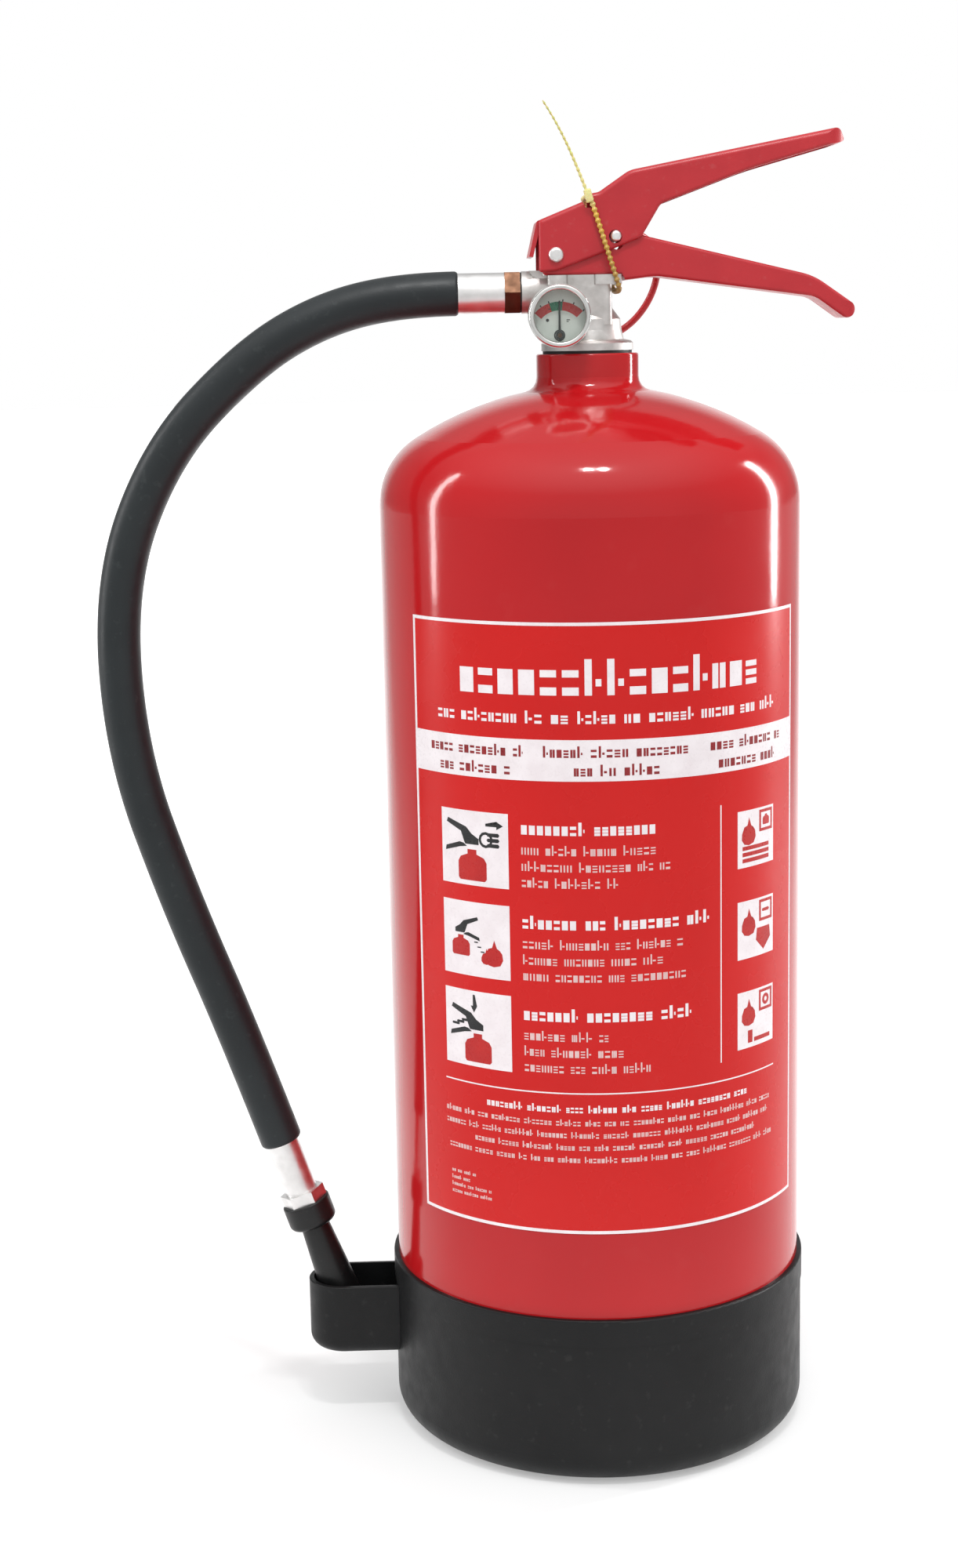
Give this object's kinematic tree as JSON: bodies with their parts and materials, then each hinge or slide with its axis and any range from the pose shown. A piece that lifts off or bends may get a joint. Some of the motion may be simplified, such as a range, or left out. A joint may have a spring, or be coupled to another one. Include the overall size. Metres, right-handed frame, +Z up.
{
  "type": "fire extinguisher",
  "caption": "Upright steel fire extinguisher with squeeze handles, pull pin, pressure gauge, printed label, foot cap, and a hose whose nozzle sits in a side holder.",
  "frame": {"origin": "middle of the foot cap's underside, on the floor it stands on", "axes": "+Z up the tank's axis, +X the way the handles point, -X where the hose leaves, -Y the front with the label and the gauge"},
  "size_m": [0.2891, 0.1638, 0.5109],
  "materials": {
    "tank_paint": "gloss powder coat over pressed steel",
    "handle_paint": "satin powder coat over pressed steel",
    "ring_coat": "thin gloss coat over spring wire",
    "cap_plastic": "moulded, fine grain",
    "nozzle_plastic": "moulded, semi-gloss",
    "label_film": "printed film, semi-gloss",
    "powder": "loose fine powder",
    "tube_plastic": "extruded",
    "valve_plate": "satin nickel plating over brass",
    "steel_plate": "zinc plating, turned",
    "gauge_metal": "plated, lightly worn",
    "brass": "turned",
    "spring_steel": "drawn wire",
    "seal_rubber": "moulded",
    "hose_rubber": "smooth extruded cover",
    "strap_plastic": "moulded, translucent",
    "dial_print": "printed face",
    "needle_metal": "black paint",
    "lens": "clear"
  },
  "bodies": {
    "extinguisher": {"tank_body": "tank_paint", "tank_bottom": "tank_paint", "neck_ring": "tank_paint", "carrying_handle": "handle_paint", "base_cap": "cap_plastic", "label": "label_film", "powder_charge": "powder", "dip_tube": "tube_plastic", "spring_retainer": "tube_plastic", "valve_body": "valve_plate", "gland_nut": "valve_plate", "hose_ferrule_upper": "steel_plate", "pivot_rivet": "steel_plate", "outlet_nipple": "steel_plate", "gauge_case": "gauge_metal", "gauge_bezel": "gauge_metal", "hose_nut": "brass", "gauge_spindle": "brass", "gauge_tube": "brass", "valve_spring": "spring_steel", "neck_gasket": "seal_rubber", "gland_seal": "seal_rubber", "gauge_seal": "seal_rubber", "outlet_washer": "seal_rubber", "hose": "hose_rubber", "tamper_seal": "strap_plastic", "gauge_dial": "dial_print", "gauge_lens": "lens"},
    "lever": {"operating_lever": "handle_paint"},
    "pin": {"safety_pin": "steel_plate"},
    "ring": {"pull_ring": "ring_coat"},
    "stem": {"valve_stem": "brass", "stem_seal": "seal_rubber"},
    "needle": {"gauge_needle": "needle_metal"},
    "nozzle": {"hose_ferrule_lower": "steel_plate", "nozzle_nut": "steel_plate", "nozzle_collar": "nozzle_plastic", "nozzle_barrel": "nozzle_plastic", "nozzle_jet": "nozzle_plastic"}
  },
  "joints": [
    {"name": "lever_pivot", "type": "hinge", "parent": "extinguisher", "child": "lever", "pos_m": [-0.012, 0, 0.4557], "axis": [0, 1, 0], "range_deg": [0, 6], "stiffness_Nm_per_rad": 2, "springref_deg": -6.88},
    {"name": "stem_slide", "type": "slide", "parent": "extinguisher", "child": "stem", "axis": [0, 0, -1], "range_m": [0, 0.0014], "deforming": ["valve_spring"]},
    {"name": "safety_pin", "type": "slide", "parent": "lever", "child": "pin", "axis": [0, 1, 0], "range_m": [0, 0.045]},
    {"name": "pull_ring", "type": "hinge", "parent": "pin", "child": "ring", "pos_m": [0.0102, 0.0215, 0.4621], "axis": [0.815, 0.395, 0.424], "range_deg": [0, 80]},
    {"name": "gauge_needle", "type": "hinge", "parent": "extinguisher", "child": "needle", "pos_m": [-0.01175, -0.0248, 0.4264], "axis": [0, 1, 0], "range_deg": [-42, 42], "stiffness_Nm_per_rad": 0.0005},
    {"name": "nozzle_lift", "type": "slide", "parent": "extinguisher", "child": "nozzle", "axis": [-0.25, 0, 0.9682], "range_m": [0, 0.045], "deforming": ["hose"]}
  ],
  "couplings": [
    {"joint": "stem_slide", "follows": "lever_pivot", "m_per_rad": 0.01246}
  ]
}
